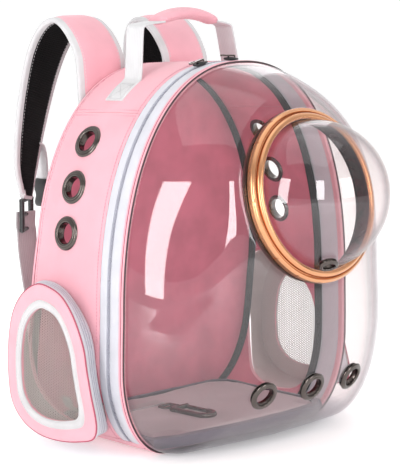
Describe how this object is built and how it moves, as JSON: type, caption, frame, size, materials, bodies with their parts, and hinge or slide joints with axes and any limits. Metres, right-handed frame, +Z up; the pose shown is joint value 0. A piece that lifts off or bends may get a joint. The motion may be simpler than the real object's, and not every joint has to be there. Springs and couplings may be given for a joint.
{
  "type": "bubble pet carrier backpack",
  "caption": "Soft pink pet carrier backpack with a clear bulging front and round bubble window, zipped mesh side doors, top handle and padded shoulder straps.",
  "frame": {"origin": "middle of the base's flat underside, halfway between rim and back panel", "axes": "+Z up towards the carrying handle, -Y towards the clear front, so the back panel faces +Y and +X is on the right of someone who looks at the clear front"},
  "size_m": [0.3718, 0.4164, 0.4332],
  "materials": {
    "pink_fabric": "plain woven polyester, light pink outside and dusty rose lining",
    "zipper_tape": "pale woven tape and webbing",
    "seam_binding": "dark bias binding",
    "door_net": "fine breathable mesh",
    "clear_plastic": "clear glossy moulded plastic",
    "copper_finish": "moulded plastic with a glossy copper-coloured metallic coat",
    "black_plastic": "black moulded plastic",
    "dark_metal": "dark plated metal",
    "pad_fabric": "short plush with a flat border"
  },
  "bodies": {
    "bag": {"rim_flange": "pink_fabric", "base_panel": "pink_fabric", "top_panel": "pink_fabric", "side_panel_left": "pink_fabric", "side_panel_right": "pink_fabric", "back_panel": "pink_fabric", "door_left_face": "pink_fabric", "door_right_face": "pink_fabric", "handle_grip": "pink_fabric", "shoulder_strap_left": "pink_fabric", "shoulder_strap_right": "pink_fabric", "zipper_band": "zipper_tape", "door_left_gusset": "zipper_tape", "door_right_gusset": "zipper_tape", "door_left_binding": "zipper_tape", "door_right_binding": "zipper_tape", "handle_strap_left": "zipper_tape", "handle_strap_right": "zipper_tape", "lower_webbing_left": "zipper_tape", "lower_webbing_right": "zipper_tape", "chest_webbing_left": "zipper_tape", "chest_webbing_right": "zipper_tape", "tether_strap": "zipper_tape", "back_seam_binding": "seam_binding", "front_seam_binding": "seam_binding", "door_left_mesh": "door_net", "door_right_mesh": "door_net", "bubble_shell": "clear_plastic", "bubble_ring": "copper_finish", "ring_nut": "black_plastic", "ladder_lock_left": "black_plastic", "ladder_lock_right": "black_plastic", "chest_buckle_left": "black_plastic", "chest_buckle_right": "black_plastic", "snap_hook": "black_plastic", "zipper_slider_left": "black_plastic", "zipper_slider_right": "black_plastic", "eyelet_left_top": "dark_metal", "eyelet_left_middle": "dark_metal", "eyelet_left_bottom": "dark_metal", "eyelet_right_top": "dark_metal", "eyelet_right_middle": "dark_metal", "eyelet_right_bottom": "dark_metal", "shell_eyelet_left": "dark_metal", "shell_eyelet_middle": "dark_metal", "shell_eyelet_right": "dark_metal", "swivel_eye": "dark_metal", "zipper_pull_left": "dark_metal", "zipper_pull_right": "dark_metal", "floor_pad": "pad_fabric"},
    "bubble": {"dome": "clear_plastic", "dome_collar": "copper_finish", "dome_vent": "dark_metal"},
    "gate": {"snap_gate": "dark_metal"}
  },
  "joints": [
    {"name": "dome_turn", "type": "hinge", "parent": "bag", "child": "bubble", "pos_m": [0, -0.1605, 0.253], "axis": [0, -0.972, 0.2348], "range_deg": [0, 30]},
    {"name": "gate_turn", "type": "hinge", "parent": "bag", "child": "gate", "pos_m": [-0.01287, -0.00523, 0.0199], "axis": [0, 0, -1], "range_deg": [0, 30], "stiffness_Nm_per_rad": 0.001, "springref_deg": -17.19}
  ]
}
